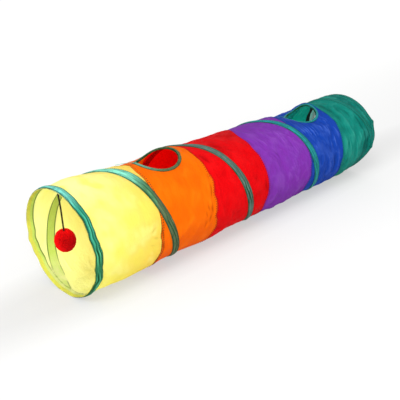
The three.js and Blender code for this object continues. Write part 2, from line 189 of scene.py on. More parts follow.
# The rolled edge of a hole's binding: millimetres outside the opening and over the cloth
HOLE_ROLL = [(4.5, 1.3), (2.8, 1.7), (1.4, 2.2), (0.4, 2), (-0.3, 1)]
HOLE_GATHER = 0.0002
HOLE_GATHERS = 40
# The loose end of its tape: its width, thickness, seat, arch and the rise at its tip
TAIL_WIDTH = 0.011
TAIL_THICKNESS = 0.0008
TAIL_SEAT = 0.0014
TAIL_ARCH = 0.0026
TAIL_RISE = 0.0012
# The share of the tape's tone left on the binding's inner leg, darkened as painted shade
INNER_LEG_PAINTED_SHADE = 0.35

# The toy
CORD_DIAMETER = 0.0035
CORD_ROUTE = [
    (-0.5117, -0.013, 0.2453), (-0.5117, -0.013, 0.2395), (-0.5116, -0.0131, 0.2336),
    (-0.5115, -0.0132, 0.2277), (-0.5114, -0.0133, 0.2218), (-0.5113, -0.0134, 0.2159),
    (-0.5112, -0.0135, 0.21), (-0.5112, -0.0135, 0.2041), (-0.5113, -0.0134, 0.1983),
    (-0.5114, -0.0133, 0.1924), (-0.5115, -0.0132, 0.1865), (-0.5116, -0.0131, 0.1806),
    (-0.5116, -0.0131, 0.1747), (-0.5117, -0.013, 0.1688), (-0.5117, -0.013, 0.1629),
    (-0.5117, -0.013, 0.157),
]
POMPOM_ROOT = 0.01521
POMPOM_PILE = 0.0225
POMPOM_BALL = 0.0188
POMPOM_STRETCH = 1.16
POMPOM_LUMPS = 0.02
POMPOM_FIBRES = 5600
# A fibre's thickness at its root, middle and tip, how far it strays and leans, its length's unevenness, and
# how much shorter it is beside the cord, which is where it stands that upright
FIBRE_THICKNESS = (0.0005, 0.00066, 0.00042)
FIBRE_STRAY = 0.02
FIBRE_LEAN = 0.0009
FIBRE_UNEVEN = (-0.05, 0.035)
FIBRE_SHORTER = 0.003
BESIDE_CORD = (0.94, 0.995)
POMPOM_SEED = 5
# Towards the side away from the light, where its painted shade starts and is full, and how much it darkens
# the tips
POMPOM_SHADED_SIDE = (0.56, -0.5, -0.66)
SHADED_SIDE_FROM = (-0.35, 0.95)
SHADED_SIDE_DARKENING = 0.8

# Fineness of the meshes
PANEL_STATIONS = 304
PANEL_ROWS = 92
TAPE_ACROSS = 27
TAPE_STEP = 2.0
HOLE_STATIONS = 160
TAIL_STATIONS = 16
TAIL_ACROSS = 5
BALL_RINGS = 24
BALL_SIDES = 40

# Panels in order from the mouth: the outer colour; its deeper colour, painted shade low down and in hollows
# and a random drift in patches; its painted highlight on a ridge; its shade on the crown, painted light on
# the yellow and painted shade on the red, purple and blue; its colour far from the mouth; its painted shade
# at the rim; the inner face's colour, painted brighter than the outer for the light that comes through, and
# its painted light deep inside; the painted colours where a tape outside shows through inside, of the light
# and shadow that it lets through, and of the painted shade at its edges; painted bands of light and shadow
# inside a rim (from, to and colour); the share of the deeper colour left in a trough as painted shade; the
# tape's own tone over this cloth; the share of light that comes through; and the mean flat length
PANELS = [
    {
        "node": "panel_yellow", "slot": "yellow_cloth", "colour": (0.855, 0.825, 0.325),
        "deep": (0.845, 0.785, 0.165), "painted_highlight": (0.905, 0.895, 0.44), "high": (0.9, 0.92, 0.52),
        "far": (0.835, 0.64, 0.09), "inside": (0.94, 0.975, 0.56), "depth": (0.985, 0.99, 0.52),
        "strip": (0.76, 0.94, 0.25), "bands": [(0.0, 0.009, (0.9, 0.9, 0.19))], "line": (0.07, 0.18, 0.02),
        "trough": 0.75, "tape": (0.07, 0.19, 0.09), "through": 0.66, "length": 0.179,
    },
    {
        "node": "panel_orange", "slot": "orange_cloth", "colour": (0.78, 0.172, 0.001),
        "deep": (0.75, 0.135, 0.001), "painted_highlight": (0.87, 0.23, 0.004), "inside": (0.98, 0.32, 0.004),
        "strip": (0.7, 0.04, 0.004), "line": (0.2, 0.02, 0.002), "trough": 0.6,
        "tape": (0.085, 0.125, 0.06), "through": 0.52, "length": 0.161,
    },
    {
        "node": "panel_red", "slot": "red_cloth", "colour": (0.72, 0.0028, 0.006),
        "deep": (0.69, 0.0012, 0.004), "painted_highlight": (0.79, 0.01, 0.012), "high": (0.64, 0.006, 0.009),
        "inside": (0.99, 0.007, 0.002), "strip": (0.82, 0.004, 0.002), "line": (0.4, 0.002, 0.002),
        "trough": 0.55, "tape": (0.08, 0.137, 0.113), "through": 0.58, "length": 0.192,
    },
    {
        "node": "panel_purple", "slot": "purple_cloth", "colour": (0.205, 0.038, 0.395),
        "deep": (0.225, 0.028, 0.39), "painted_highlight": (0.29, 0.085, 0.5), "high": (0.18, 0.034, 0.35),
        "inside": (0.24, 0.04, 0.44), "strip": (0.12, 0.024, 0.23), "line": (0.04, 0.01, 0.08),
        "trough": 0.5, "tape": (0.013, 0.2, 0.215), "through": 0.45, "length": 0.178,
    },
    {
        "node": "panel_blue", "slot": "blue_cloth", "colour": (0.009, 0.052, 0.36),
        "deep": (0.006, 0.058, 0.41), "painted_highlight": (0.055, 0.135, 0.56), "high": (0.008, 0.045, 0.29),
        "inside": (0.02, 0.08, 0.46), "strip": (0.016, 0.07, 0.4), "line": (0.006, 0.02, 0.12),
        "trough": 0.4, "tape": (0.013, 0.21, 0.22), "through": 0.45, "length": 0.176,
    },
    {
        "node": "panel_green", "slot": "green_cloth", "colour": (0.011, 0.296, 0.244),
        "deep": (0.004, 0.205, 0.168), "painted_highlight": (0.05, 0.425, 0.345), "inside": (0.008, 0.76, 0.61),
        "strip": (0.024, 0.98, 0.85),
        "bands": [(0.0, 0.032, (0.7, 0.96, 0.9)), (0.032, 0.054, (0.001, 0.022, 0.018))],
        "line": (0.008, 0.6, 0.48), "trough": 0.55, "rim": (0.002, 0.13, 0.104),
        "tape": (0.004, 0.15, 0.12), "through": 0.6, "length": 0.164,
    },
]
# The panels' crumples: the heights of facets, short streaks and soft waves, and the streaks' pitch, length
# and lean
CRUMPLES = [
    (0.3, 0.3, 1.2, 14, 28, 10),
    (0.3, 0.3, 1.3, 12, 28, -12),
    (0.9, 0.4, 1.8, 12, 28, 25),
    (0.8, 0.6, 1.3, 6, 17, 24),
    (1, 0.6, 1.5, 6.2, 14, 15),
    (1, 0.5, 1.8, 7, 20, 8),
]
# Sets of streaks: their pitch, length, lean and height as shares of the panel's own, with creases below 0
STREAK_LAYERS = [(1.0, 1.0, 1.0, 1.0), (0.9, 0.7, -1.4, -0.8), (0.8, 0.5, 2.6, 0.7)]
# Sets of facets: their size, their length and their share of the height
FACET_LAYERS = [(0.04, 0.056, 1.0), (0.02, 0.028, 0.6)]
FACET_TOP = 0.8
FACET_SLOPE = 4
# The share of the facets that counts as sharp marks
FACET_MARKS = 0.7
STREAK_PATCH = 0.055
# Where in the noise a streak rises and a patch of streaks fades in
STREAK_RISE = (0.08, 0.45)
PATCH_RISE = (-0.15, 0.4)
# Sets of waves: their pitch, length and share of the height
WAVE_LAYERS = [(0.03, 0.045, 1.0), (0.014, 0.024, 0.5)]
SEAM_HOLD = 0.014
NOISE_STEP = 7.3
RELIEF = 0.0014
INNER_THROUGH = 0.69

# Tape tones: a painted sheen on the crown, the mouth's tape in painted light high up and painted shade low
# down, a painted highlight on the ridges of gathers, and one dark colour for painted shade in their hollows
# and at the edges that also marks random wear
TAPE_PAINTED_SHEEN = (0.19, 0.58, 0.43)
MOUTH_PAINTED_SHEEN = (0.15, 0.51, 0.43)
MOUTH_PAINTED_LIGHT = (0.022, 0.25, 0.17)
MOUTH_PAINTED_SHADE = (0.028, 0.18, 0.08)
TAPE_PAINTED_HIGHLIGHT = (0.12, 0.56, 0.3)
TAPE_PAINTED_SHADE_AND_WEAR = (0.002, 0.046, 0.012)
TAPE_TAPER = (-8, 30)
THREAD_COLOUR = (0.008, 0.07, 0.05)
POMPOM_COLOUR = (0.74, 0.001, 0.002)
POMPOM_PAINTED_SHADE = (0.3, 0.0, 0.001)
CORD_COLOUR = (0.006, 0.004, 0.003)
CORD_WORN = (0.012, 0.008, 0.006)


# Shape of the tube
def swell(offset, reach):
    """1 at the middle, falling smoothly to 0 at the ends."""
    share = np.abs(offset) / reach
    return np.where(share < 1, np.cos(np.minimum(share, 1) * math.pi / 2) ** 2, 0.0)


def turn_between(a, b):
    return (a - b + 180) % 360 - 180


def swell_in(offset, start, end):
    """0 before the start, rising smoothly to 1 at the end."""
    share = np.clip((offset - start) / (end - start), 0, 1)
    return share * share * (3 - 2 * share)


def edge_at(number, angle):
    """The place along X of a panel's edge, from the mouth's rim to the far rim."""
    edge = EDGES[number]
    turned = np.radians(angle)
    place = edge["x"] + edge["crown"] * np.cos(turned) + edge["near"] * np.sin(turned)
    strays = sum(reach * swell(turn_between(angle, at), half) for at, half, reach in edge["strays"])
    return MM * (place + strays)


def wire_at(turn):
    """The wire's place along X at a turn, by a smooth curve through the table's rows."""
    turns, places = WIRE.T
    wide = np.pad(WIRE.T, ((0, 0), (1, 1)), mode="edge")
    spans, rises = wide[:, 2:] - wide[:, :-2]
    after = np.clip(np.searchsorted(turns, turn), 1, len(WIRE) - 1)
    before = after - 1
    span = turns[after] - turns[before]
    share = (turn - turns[before]) / span
    slope_before, slope_after = (rises[end] / spans[end] * span for end in (before, after))
    rise = places[after] - places[before]
    square = 3 * rise - 2 * slope_before - slope_after
    cube = slope_before + slope_after - 2 * rise
    return places[before] + share * (slope_before + share * (square + share * cube))


def wire_passes(angle):
    """Every place along X where the wire passes under one line of the tube."""
    first = turn_between(angle, 0)
    end = edge_at(END_RIM, angle) - RING_TAPE_WIDTH / 2
    passes = [edge_at(MOUTH_RIM, angle) + RING_TAPE_WIDTH / 2]
    for lap in range(WIRE_LAPS):
        turn = first + 360 * lap
        passes.append(np.where(turn <= WIRE_END, wire_at(np.minimum(turn, WIRE_END)), end))
    passes.append(end)
    return passes


def sag(x, angle):
    """How far the cloth sinks in between two passes of the wire."""
    passes = wire_passes(angle)
    left = np.full_like(x, -1.0)
    right = np.full_like(x, 1.0)
    for place in passes:
        left = np.where(place <= x, np.maximum(left, place), left)
        right = np.where(place > x, np.minimum(right, place), right)
    between = (left > -1.0) & (right < 1.0)
    span = np.where(between, right - left, 1.0)
    share = np.where(between, (x - left) / span, 0.0)
    depth = (SAG_MEAN + SAG_CROWN * np.cos(np.radians(angle))) * np.minimum(1, span / WIRE_PITCH) ** 2
    return depth * 4 * share * (1 - share)


def whole_half(turn):
    """Half of the spiral tape's width, which is wider where the tape lies slack."""
    return TAPE_WIDTH / 2 + MM * sum(wider * swell(turn - at, half) for at, half, wider in TAPE_SLACK)


def tape_half(turn):
    """The same, tapering away where the spiral starts."""
    return whole_half(turn) * swell_in(turn - WIRE_START, *TAPE_TAPER)


def beside_tape(x, angle):
    """How far a place lies outside the nearest tape's edge, along X."""
    passes = wire_passes(angle)
    first = turn_between(angle, 0)
    laps = [tape_half(first + 360 * lap) for lap in range(WIRE_LAPS)]
    halves = [RING_TAPE_WIDTH / 2] + laps + [RING_TAPE_WIDTH / 2]
    away = [np.abs(x - place) - half for place, half in zip(passes, halves)]
    return np.min(away, axis=0)


def raised(rows, x, angle):
    """The height that a table of folds gives to the cloth."""
    return MM * sum(
        height * swell(x - MM * at, MM * reach) * swell(turn_between(angle, turn), half)
        for at, turn, reach, half, height in rows
    )


def tube_radius(x, angle):
    """The outer radius of the cloth with its main folds."""
    loose = swell_in(beside_tape(x, angle), 0.0, SLACK_CLEAR)
    return TUBE_RADIUS - sag(x, angle) + raised(FOLDS, x, angle) + loose * raised(SLACK, x, angle)


def unevenness(angle, seed, waves=9):
    """A smooth wander between about -1 and 1 that closes round the tube."""
    rng = np.random.default_rng(seed)
    total = 0.0
    for wave in range(1, waves + 1):
        reach = rng.uniform(0.5, 1.0)
        total = total + reach * np.cos(wave * np.radians(angle) + rng.uniform(0, 2 * math.pi))
    return total / math.sqrt(waves)


def scattered_creases():
    """Creases for the side that the photo doesn't show."""
    rng = np.random.default_rng(SCATTER_SEED)
    rows = []
    for _ in range(SCATTER_COUNT):
        x, angle, along, around, width, height = (rng.uniform(*limits) for limits in SCATTER_RANGES)
        rows.append((x, angle, x + along, angle + around, width, height * rng.choice([-1, 1, 1])))
    return rows


def crease(x, angle, row):
    """One soft ridge or trough along a short line on the cloth."""
    x0, angle0, x1, angle1, width, height = row
    arc = math.radians(1) * TUBE_RADIUS
    across = turn_between(angle, angle0) * arc
    along = x - x0
    line = np.array((x1 - x0, turn_between(angle1, angle0) * arc))
    length = math.hypot(*line)
    share = np.clip((along * line[0] + across * line[1]) / length ** 2, 0, 1)
    away = np.hypot(along - share * line[0], across - share * line[1])
    return height * np.exp(-((away / width) ** 2)) * np.sin(math.pi * (0.1 + 0.8 * share))


def flat_noise(x, angle, seed, pitch, length, lean):
    """Smooth noise on the flat cloth, drawn out along a line that leans from the way round the tube."""
    turn = math.radians(lean)
    arc = np.radians(turn_between(angle, 0)) * TUBE_RADIUS
    across = (x * math.cos(turn) - arc * math.sin(turn)) / pitch
    along = (x * math.sin(turn) + arc * math.cos(turn)) / length
    cells = zip(across.ravel().tolist(), along.ravel().tolist())
    values = [smooth_noise.noise((u, v, NOISE_STEP * seed)) for u, v in cells]
    return np.array(values).reshape(x.shape)


def crumples(x, angle, number):
    """Heights of short thin ridges, which come and go in patches, and of flat facets between sharp ridges.

    The third result is the soft unevenness of slack cloth, between about -1 and 1.
    """
    facet_height, streak_height, _, pitch, long, lean = CRUMPLES[number]

    def field(layer, wide, drawn, turn=lean):
        return flat_noise(x, angle, number + 10 * layer, wide, drawn, turn)

    # Every set has its own layer of the noise, and the patches have the one after the streaks
    streaks = facets = waves = 0.0
    for layer, (wide, drawn, turn, share) in enumerate(STREAK_LAYERS):
        ridge = field(layer, MM * pitch * wide, MM * long * drawn, lean * turn)
        streaks = streaks + share * swell_in(ridge, *STREAK_RISE)
    patches = swell_in(field(3, STREAK_PATCH, STREAK_PATCH, 0), *PATCH_RISE)
    for layer, (wide, drawn, share) in enumerate(WAVE_LAYERS, 4):
        waves = waves + share * field(layer, wide, drawn)
    for layer, (wide, drawn, share) in enumerate(FACET_LAYERS, 6):
        facets = facets + share * (FACET_TOP - FACET_SLOPE * np.abs(field(layer, wide, drawn)))
    return MM * streak_height * streaks * patches, MM * facet_height * facets, waves


def cloth_detail(x, angle, number):
    """Creases, crumpling, gathers beside seams and tapes, and seam lips, all of them flat under a tape.

    The other result is what the cloth's materials read at each point.
    """
    clear = beside_tape(x, angle)
    from_start = x - edge_at(number, angle)
    from_end = edge_at(number + 1, angle) - x
    from_seam = np.minimum(from_start, from_end)
    held = swell_in(from_seam, 0.0, SEAM_HOLD)
    streaks, facets, slack = (part * held for part in crumples(x, angle, number))
    marks = streaks + FACET_MARKS * facets
    for row in [*CREASES, *scattered_creases()]:
        marks += crease(x, angle, row)
    gathers = np.sin(PUCKER_WAVES * np.radians(angle) + PUCKER_WANDER * unevenness(angle, number))
    mean, uneven = PUCKER_SHARES
    strength = PUCKER_HEIGHT * np.maximum(0, mean + uneven * unevenness(angle, number + 20))
    _, _, wave_height, _, _, _ = CRUMPLES[number]
    detail = marks + (1 - FACET_MARKS) * facets + MM * wave_height * slack
    for edge in (clear, from_start, from_end):
        detail += strength * gathers * np.exp(-np.maximum(edge, 0) / PUCKER_REACH)
    lip = 1 - swell_in(from_seam, *LIP_REACH)
    free = swell_in(clear, *FREE_OF_TAPE)
    layers = {
        "tape_edge": clear,
        "seam_edge": from_seam,
        "from_rim": np.minimum(x - edge_at(MOUTH_RIM, angle), edge_at(END_RIM, angle) - x),
        "relief": marks * free / RELIEF,
        "slack": slack,
    }
    return (detail + LIP_HEIGHT * lip) * free, layers


def tube_points(x, angle, radius, floor):
    turned = np.radians(angle)
    height = np.maximum(AXIS_HEIGHT + radius * np.cos(turned), floor)
    return np.stack(np.broadcast_arrays(x, -radius * np.sin(turned), height), axis=-1)


# Meshes
def new_object(name, data):
    made = bpy.data.objects.new(name, data)
    bpy.context.scene.collection.objects.link(made)
    return made


def new_piece(name, points, faces, *materials, sharp=40):
    mesh = bpy.data.meshes.new(name)
    places = np.asarray(points, float).reshape(-1, 3).tolist()
    mesh.from_pydata(places, [], [list(map(int, face)) for face in faces])
    mesh.shade_smooth()
    mesh.set_sharp_from_angle(angle=math.radians(sharp))
    for material in materials:
        mesh.materials.append(material)
    piece = new_object(name, mesh)
    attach(piece, "root")
    return piece


def set_values(piece, name, values):
    """One number for each vertex, for the material to read."""
    layer = piece.data.attributes.new(name, "FLOAT", "POINT")
    layer.data.foreach_set("value", np.ravel(values).astype(np.float32))


def set_colours(piece, name, colours):
    """One colour for each vertex, for the material to read."""
    layer = piece.data.attributes.new(name, "FLOAT_COLOR", "POINT")
    whole = np.ones((len(colours), 4), np.float32)
    whole[:, :3] = colours
    layer.data.foreach_set("color", whole.ravel())


def set_uv(piece, across, along):
    """Flat coordinates, one pair for each vertex, in metres or, across a tape, as a share of its width."""
    mesh = piece.data
    layer = mesh.uv_layers.new(name="cloth")
    corner = np.zeros(len(mesh.loops), np.int32)
    mesh.loops.foreach_get("vertex_index", corner)
    flat = np.stack([np.ravel(across)[corner], np.ravel(along)[corner]], axis=-1)
    layer.data.foreach_set("uv", flat.ravel().astype(np.float32))


def grid_faces(rows, columns, wrap_rows, wrap_columns):
    """Quads of a grid of points that is numbered row by row."""
    i = np.arange(rows if wrap_rows else rows - 1)
    j = np.arange(columns if wrap_columns else columns - 1)
    i, j = np.meshgrid(i, j, indexing="ij")
    below = (i + 1) % rows
    right = (j + 1) % columns
    corners = [i * columns + j, below * columns + j, below * columns + right, i * columns + right]
    return np.stack(corners, axis=-1).reshape(-1, 4)


def loft(sections, closed):
    """Faces through a row of closed sections, with caps where the row is open."""
    count, sides = sections.shape[:2]
    faces = grid_faces(count, sides, closed, True).tolist()
    if not closed:
        faces.append(list(range(sides)))
        faces.append(list(range((count - 1) * sides, count * sides))[::-1])
    return faces


def shifted(faces, by):
    """The same faces on points that are numbered later."""
    return [[point + by for point in face] for face in faces]


def unit(vectors):
    return vectors / np.linalg.norm(vectors, axis=-1, keepdims=True)


# Panels
def round_hole(hole, direction, outside):
    """A place on the cloth round a peep hole: the direction from its middle, and how far outside its edge.

    On the flat cloth a complex number holds the place along X and the place round the tube.
    """
    turned = np.radians(direction)
    oval = (hole["along"] + outside) * np.cos(turned) + 1j * (hole["across"] + outside) * np.sin(turned)
    flat = oval * np.exp(1j * math.radians(hole["turn"]))
    return hole["x"] + flat.real, hole["angle"] + np.degrees(flat.imag / TUBE_RADIUS)


def hole_share(hole, x, angle, outside):
    """Under 1 inside the oval that lies that far outside the opening, and the direction there."""
    arc = np.radians(turn_between(angle, hole["angle"])) * TUBE_RADIUS
    flat = (x - hole["x"] + 1j * arc) * np.exp(-1j * math.radians(hole["turn"]))
    oval = flat.real / (hole["along"] + outside) + 1j * flat.imag / (hole["across"] + outside)
    return np.abs(oval), np.degrees(np.angle(oval))


def cut_faces(faces, x, angle, hole):
    """The faces outside the hole, with the points along its edge moved onto the edge."""
    share, direction = hole_share(hole, x.ravel(), angle.ravel(), HOLE_WEB)
    kept = faces[(share[faces] >= 1).sum(axis=1) >= 2]
    rim = np.unique(kept[(share[kept] < 1.0).any(axis=1)].ravel())
    rim = rim[share[rim] < 1.0]
    flat_x, flat_angle = x.ravel(), angle.ravel()
    flat_x[rim], flat_angle[rim] = round_hole(hole, direction[rim], HOLE_WEB)
    return kept, flat_x.reshape(x.shape), flat_angle.reshape(angle.shape)


def rim_faces(faces, layer):
    """Quads that join the open edges of an outer layer to those of the inner one numbered after it."""
    edges = np.concatenate([faces[:, [k, (k + 1) % 4]] for k in range(4)])
    key = np.sort(edges, axis=1)
    _, place, uses = np.unique(key, axis=0, return_index=True, return_counts=True)
    open_edges = edges[place[uses == 1]]
    a, b = open_edges[:, 0], open_edges[:, 1]
    return np.stack([b, a, a + layer, b + layer], axis=-1)


def panel_piece(number, outside, inside):
    name = PANELS[number]["node"]
    angle = np.tile(np.arange(PANEL_STATIONS)[:, None] * 360.0 / PANEL_STATIONS, PANEL_ROWS + 1)
    start = edge_at(number, angle) + (SEAM_GAP / 2 if number else 0)
    end = edge_at(number + 1, angle) - (SEAM_GAP / 2 if number < len(PANELS) - 1 else 0)
    x = start + (end - start) * np.linspace(0, 1, PANEL_ROWS + 1)
    faces = grid_faces(PANEL_STATIONS, PANEL_ROWS + 1, True, False)
    if name in HOLES:
        faces, x, angle = cut_faces(faces, x, angle, HOLES[name])
    detail, layers = cloth_detail(x, angle, number)
    radius = tube_radius(x, angle) + detail
    outer = tube_points(x, angle, radius, CLOTH_FLOOR)
    inner = tube_points(x, angle, radius - CLOTH_THICKNESS, CLOTH_FLOOR + CLOTH_THICKNESS)
    layer = x.size
    every = np.concatenate([faces, faces[:, ::-1] + layer, rim_faces(faces, layer)])
    points = np.concatenate([outer.reshape(-1, 3), inner.reshape(-1, 3)])
    used = np.unique(every)
    renumber = np.zeros(2 * layer, int)
    renumber[used] = np.arange(len(used))
    piece = new_piece(name + "_cloth", points[used], renumber[every], outside, inside)
    is_inner = np.zeros(len(every), np.int32)
    is_inner[len(faces):2 * len(faces)] = 1
    piece.data.polygons.foreach_set("material_index", is_inner)

    def on_both(values):
        return np.tile(values.ravel(), 2)[used]

    for key, values in layers.items():
        set_values(piece, key, on_both(values))
    set_uv(piece, on_both(np.radians(angle) * TUBE_RADIUS), on_both(x))
    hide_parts(name)
    return piece


# Tapes: half of the section across a tape, as shares of its width and heights over the cloth
TAPE_SECTION = [
    (0, 3.2), (0.06, 3.1), (0.14, 2.6), (0.215, 1.7), (0.3, 1.2), (0.38, 1.1), (0.465, 1.2), (0.49, 0.9),
    (0.5, 0.3),
]
TAPE_RIPPLES = 96
TAPE_RIPPLE = 0.00018
RIPPLE_FROM = 0.15
# Where a tape is gathered into ridges along its length: the turn, the half-turn, the height and how far the
# ridges are shifted across
TAPE_GATHERS = {
    "mouth_binding": [
        (24, 30, 0.5, 0.3), (56, 30, 1, 0.15), (84, 28, 1.4, 0.45), (112, 34, 1.3, 0), (-100, 60, 0.5, 0),
    ],
    "spiral_binding": [
        (44, 40, 0.7, 0.2), (84, 36, 0.9, 0.45), (116, 36, 1, 0.5), (412, 30, 0.5, 0.3), (446, 34, 1.4, 0.5),
        (486, 26, 0.7, 0.1), (260, 60, 0.5, 0), (610, 60, 0.5, 0.3), (764, 40, 0.5, 0.25),
        (806, 34, 0.7, 0.6), (1136, 30, 1.1, 0.2),
    ],
    "end_binding": [(62, 22, 1.6, 0.3), (98, 16, 1.6, 0.1), (-100, 70, 0.5, 0)],
}
TAPE_RIDGES = 2.6
# How the ridges wander across: the reach, the seed and the number of waves
TAPE_WANDER = [(0.4, 41, 7), (0.16, 43, 30)]
GATHER_FULL = 0.001
# The share of the wire's ridge left past the last seam, and how soon it is that low
SLIM_TAPE = 0.45
SLIM_REACH = 0.02
TAPE_FLAT = 0.0012
TAPE_THINNEST = 0.0004
TAPE_UNDERSIDE = 0.0003
# Where the mouth's tape is wider: the angle, the half-angle and by how much, and its unevenness
MOUTH_SLACK = (104, 46, 0.0018)
MOUTH_UNEVEN = 0.0008
SPIRAL_THINNEST = 0.0008
# Where a tape's tone turns into the mouth's, from painted shade low on the mouth to painted light high on
# it, and where the painted sheen on the crown in front lies
MOUTH_ZONE = (0.47, 0.486)
MOUTH_HEIGHTS = (0.12, 0.2)
CROWN_HEIGHTS = (0.222, 0.25)
CROWN_ZONE = (0.26, 0.36)


def tape_gathers(tape, turns, across):
    """The ridges along a gathered tape, as heights over its plain section."""
    wander = sum(reach * unevenness(turns, seed, waves) for reach, seed, waves in TAPE_WANDER)
    total = np.zeros((len(turns), len(across)))
    for at, half, height, shift in TAPE_GATHERS[tape]:
        ridge = np.cos(2 * math.pi * (TAPE_RIDGES * across[None] + wander[:, None] + shift))
        total += MM * height * swell(turns - at, half)[:, None] * ridge
    return total * np.cos(across * math.pi) ** 0.5


def tape_sections(tape, turns, left, right):
    """Sections of a tape on the cloth, one for each turn, with each point's place across and gathers."""
    across = 0.5 * np.sin(np.linspace(-math.pi / 2, math.pi / 2, TAPE_ACROSS))
    angle = turns[:, None]
    middle = (left + right)[:, None] / 2
    width = (right - left)[:, None]
    x = middle + across * width
    height = MM * np.interp(np.abs(across), *zip(*TAPE_SECTION))
    slim = swell_in(middle - edge_at(len(PANELS) - 1, angle), 0.0, SLIM_REACH)
    height = height - slim * (1 - SLIM_TAPE) * np.maximum(0, height - TAPE_FLAT)
    ripple = TAPE_RIPPLE * np.sin(TAPE_RIPPLES * np.radians(angle) + 2 * unevenness(angle, 31))
    gathers = tape_gathers(tape, turns, across)
    lifted = height + gathers + ripple * np.cos(across * math.pi) ** 0.5 * (np.abs(across) > RIPPLE_FROM)
    seat = tube_radius(x, np.broadcast_to(angle, x.shape)) + TAPE_GAP
    outer = tube_points(x, angle, seat + np.maximum(lifted, TAPE_THINNEST), TAPE_FLOOR)
    inner = tube_points(x, angle, seat, TAPE_FLOOR + TAPE_UNDERSIDE)
    points = np.concatenate([outer, inner[:, ::-1]], axis=1)
    shares = np.concatenate([across, across[::-1]])
    relief = np.concatenate([gathers, gathers[:, ::-1]], axis=1) / GATHER_FULL
    return points, np.broadcast_to(shares, points.shape[:2]), relief


def tape_piece(tape, turns, left, right, closed, material):
    points, across, relief = tape_sections(tape, turns, left, right)
    piece = new_piece(tape + "_tape", points, loft(points, closed), material, sharp=60)
    along = np.broadcast_to(np.radians(turns)[:, None] * TUBE_RADIUS, across.shape)
    dress_tape(piece, tape, across, along, tape_tone(points.reshape(-1, 3)), relief)


def dress_tape(piece, tape, across, along, tone, relief):
    """What a tape's material reads, and the solid that the piece stands for."""
    set_uv(piece, across, along)
    set_colours(piece, "tone", tone)
    set_values(piece, "relief", relief)
    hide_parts(tape)


def tape_tone(points):
    """The colour of a tape, which takes after the cloth under it, is painted lighter high on the mouth and
    darker low on it, and has a painted sheen on the crown in front.
    """
    x, y, z = points.T
    angle = np.degrees(np.arctan2(-y, z - AXIS_HEIGHT))
    tones = np.tile(PANELS[0]["tape"], (len(points), 1))
    for number in range(1, len(PANELS)):
        tones[x > edge_at(number, angle)] = PANELS[number]["tape"]
    at_mouth = swell_in(-x, *MOUTH_ZONE)[:, None]
    # The mouth's tape: painted light high up, painted shade low down
    high = swell_in(z, *MOUTH_HEIGHTS)[:, None]
    mouth = np.array(MOUTH_PAINTED_SHADE) + high * np.subtract(MOUTH_PAINTED_LIGHT, MOUTH_PAINTED_SHADE)
    tones = tones + at_mouth * (mouth - tones)
    # A painted sheen on the crown in front
    crown = (swell_in(z, *CROWN_HEIGHTS) * swell_in(-x, *CROWN_ZONE))[:, None]
    pale = np.array(TAPE_PAINTED_SHEEN) + at_mouth * np.subtract(MOUTH_PAINTED_SHEEN, TAPE_PAINTED_SHEEN)
    return tones + crown * (pale - tones)


def mouth_span(turns):
    left = edge_at(MOUTH_RIM, turns) + HEM_SHOWING
    at, half, wider = MOUTH_SLACK
    slack = wider * swell(turn_between(turns, at), half) + MOUTH_UNEVEN * unevenness(turns, 61, 16)
    return left, left + RING_TAPE_WIDTH + slack


def end_span(turns):
    right = edge_at(END_RIM, turns) - HEM_SHOWING
    return right - RING_TAPE_WIDTH, right


def spiral_span(turns):
    middle = wire_at(turns)
    left = np.maximum(middle - whole_half(turns), mouth_span(turns)[1] + TAPE_GAP)
    right = np.maximum(middle + tape_half(turns), left + SPIRAL_THINNEST)
    right = np.minimum(right, end_span(turns)[0] - TAPE_GAP)
    return left, right


# Sewing: the places along a stitch and its thickness there as shares, and the sizes of the rows
STITCH_LENGTH = 0.0034
STITCH_SIDES = 5
STITCH_PLACES = np.array((0.0, 0.2, 0.8, 1.0))
STITCH_SWELLING = np.array((0.25, 1.0, 1.0, 0.25))
TAPE_STITCHES = {"height": TAPE_GAP + 0.0011, "gap": 0.0022, "thick": 0.0006}
TAPE_STITCH_INSET = 0.0016
SEAM_STITCH_GAP = 0.0026
SEAM_STITCH_HEIGHT = 0.0008
# How much deeper the seams' stitches lie on the crown, and its half-angle
SEAM_STITCH_SUNK = 0.0014
SEAM_STITCH_CROWN = 66
# Rows of topstitching beside each seam: how far along X from the seam, the thread's thickness and its shade
SEAM_ROWS = [
    ((0.0012, 0.0058), 0.0009, (0.09, 0.03, 0.006)),
    ((-0.003, 0.003), 0.0006, (0.2, 0.02, 0.002)),
    ((-0.003, 0.003), 0.0006, (0.22, 0.004, 0.02)),
    ((-0.003, 0.003), 0.0006, (0.05, 0.012, 0.12)),
    ((-0.003, 0.003), 0.0006, (0.004, 0.04, 0.14)),
]


def stitch_row(x, angle, height, gap, thick):
    """Stitches along a line on the tube, as points and faces."""
    line = tube_points(x, angle, tube_radius(x, angle) + height, TAPE_FLOOR + thick)
    steps = np.linalg.norm(np.diff(line, axis=0), axis=1)
    place = np.concatenate([[0], np.cumsum(steps)])
    starts = np.arange(0, place[-1] - STITCH_LENGTH, STITCH_LENGTH + gap)
    at = starts[:, None] + STITCH_PLACES * STITCH_LENGTH
    centre = np.stack([np.interp(at, place, line[:, k]) for k in range(3)], axis=-1)
    ahead = unit(centre[:, -1:] - centre[:, :1])
    out = unit(centre * (0, 1, 1) - (0, 0, AXIS_HEIGHT))
    side = np.cross(ahead, out)
    turn = np.arange(STITCH_SIDES)[:, None] * 2 * math.pi / STITCH_SIDES
    reach = np.cos(turn) * side[:, :, None] + np.sin(turn) * out[:, :, None]
    points = centre[:, :, None] + thick * STITCH_SWELLING[:, None, None] * reach
    stitch = loft(points[0], False)
    step = len(STITCH_PLACES) * STITCH_SIDES
    faces = [face for number in range(len(starts)) for face in shifted(stitch, step * number)]
    return points.reshape(-1, 3), faces


